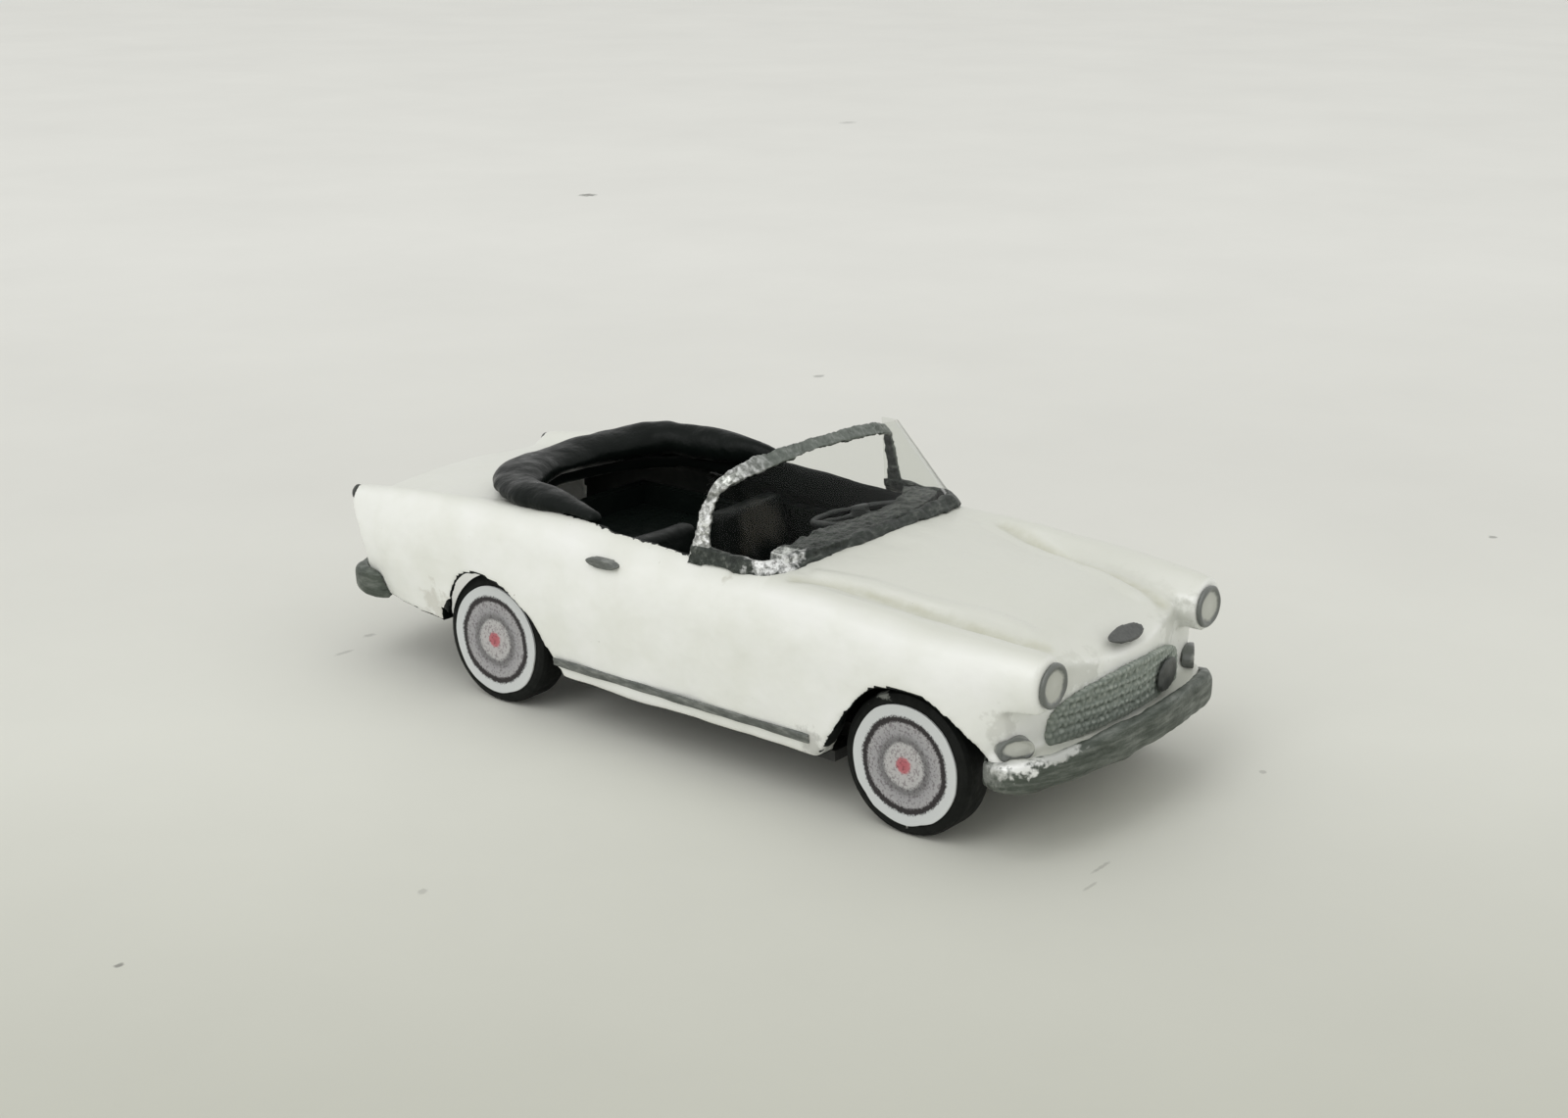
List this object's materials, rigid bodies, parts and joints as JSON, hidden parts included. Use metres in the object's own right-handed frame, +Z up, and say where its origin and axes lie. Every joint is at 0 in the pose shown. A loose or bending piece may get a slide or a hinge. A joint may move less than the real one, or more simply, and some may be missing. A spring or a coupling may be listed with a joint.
{
  "type": "scale model open two-seat roadster",
  "caption": "Small hand-painted scale model of an open two-seat convertible car on free-rolling wheels, with a wrapped windscreen and folded hood.",
  "frame": {"origin": "on the floor below the middle of the model's length and width", "axes": "+Z up, nose towards -Y, the car's left side towards +X"},
  "size_m": [0.0178, 0.0446, 0.0144],
  "materials": {
    "white_paint": "satin hand-brushed white paint",
    "silver_paint": "matt silver brush paint",
    "foil": "crinkled silver foil",
    "black_interior": "glossy black paint",
    "film": "clear thin film",
    "tyre": "satin black",
    "wheel": "moulded plastic",
    "printed_paper": "printed paper disc",
    "steel": "plain wire",
    "chassis": "plain sheet",
    "lamp_lens": "painted lens",
    "grille_grey": "silver-grey paint",
    "dark_emblem": "dark grey paint"
  },
  "bodies": {
    "car": {"body_shell": "white_paint", "chassis_plate": "chassis", "interior_tub": "black_interior", "dashboard": "black_interior", "seat_left": "black_interior", "seat_right": "black_interior", "steering_wheel": "black_interior", "windscreen_film": "film", "windscreen_frame": "foil", "windscreen_base_foil": "silver_paint", "hood_cover": "black_interior", "front_bumper": "silver_paint", "rear_bumper": "silver_paint", "grille": "grille_grey", "grille_badge": "dark_emblem", "bonnet_badge": "silver_paint", "headlamp_left": "lamp_lens", "headlamp_right": "lamp_lens", "sidelight_left": "lamp_lens", "sidelight_right": "lamp_lens", "tail_lamp_left": "dark_emblem", "tail_lamp_right": "dark_emblem", "door_handle_left": "silver_paint", "door_handle_right": "silver_paint", "sill_trim_left": "silver_paint", "sill_trim_right": "silver_paint"},
    "front_wheels": {"front_axle": "steel", "front_wheel_left": "wheel", "front_tyre_left": "tyre", "front_wheel_disc_left": "printed_paper", "front_wheel_right": "wheel", "front_tyre_right": "tyre", "front_wheel_disc_right": "printed_paper"},
    "rear_wheels": {"rear_axle": "steel", "rear_wheel_left": "wheel", "rear_tyre_left": "tyre", "rear_wheel_disc_left": "printed_paper", "rear_wheel_right": "wheel", "rear_tyre_right": "tyre", "rear_wheel_disc_right": "printed_paper"}
  },
  "joints": [
    {"name": "front_axle_turn", "type": "hinge", "parent": "car", "child": "front_wheels", "pos_m": [0, -0.0145, 0.0033], "axis": [1, 0, 0], "continuous": true},
    {"name": "rear_axle_turn", "type": "hinge", "parent": "car", "child": "rear_wheels", "pos_m": [0, 0.0106, 0.0033], "axis": [1, 0, 0], "continuous": true}
  ]
}
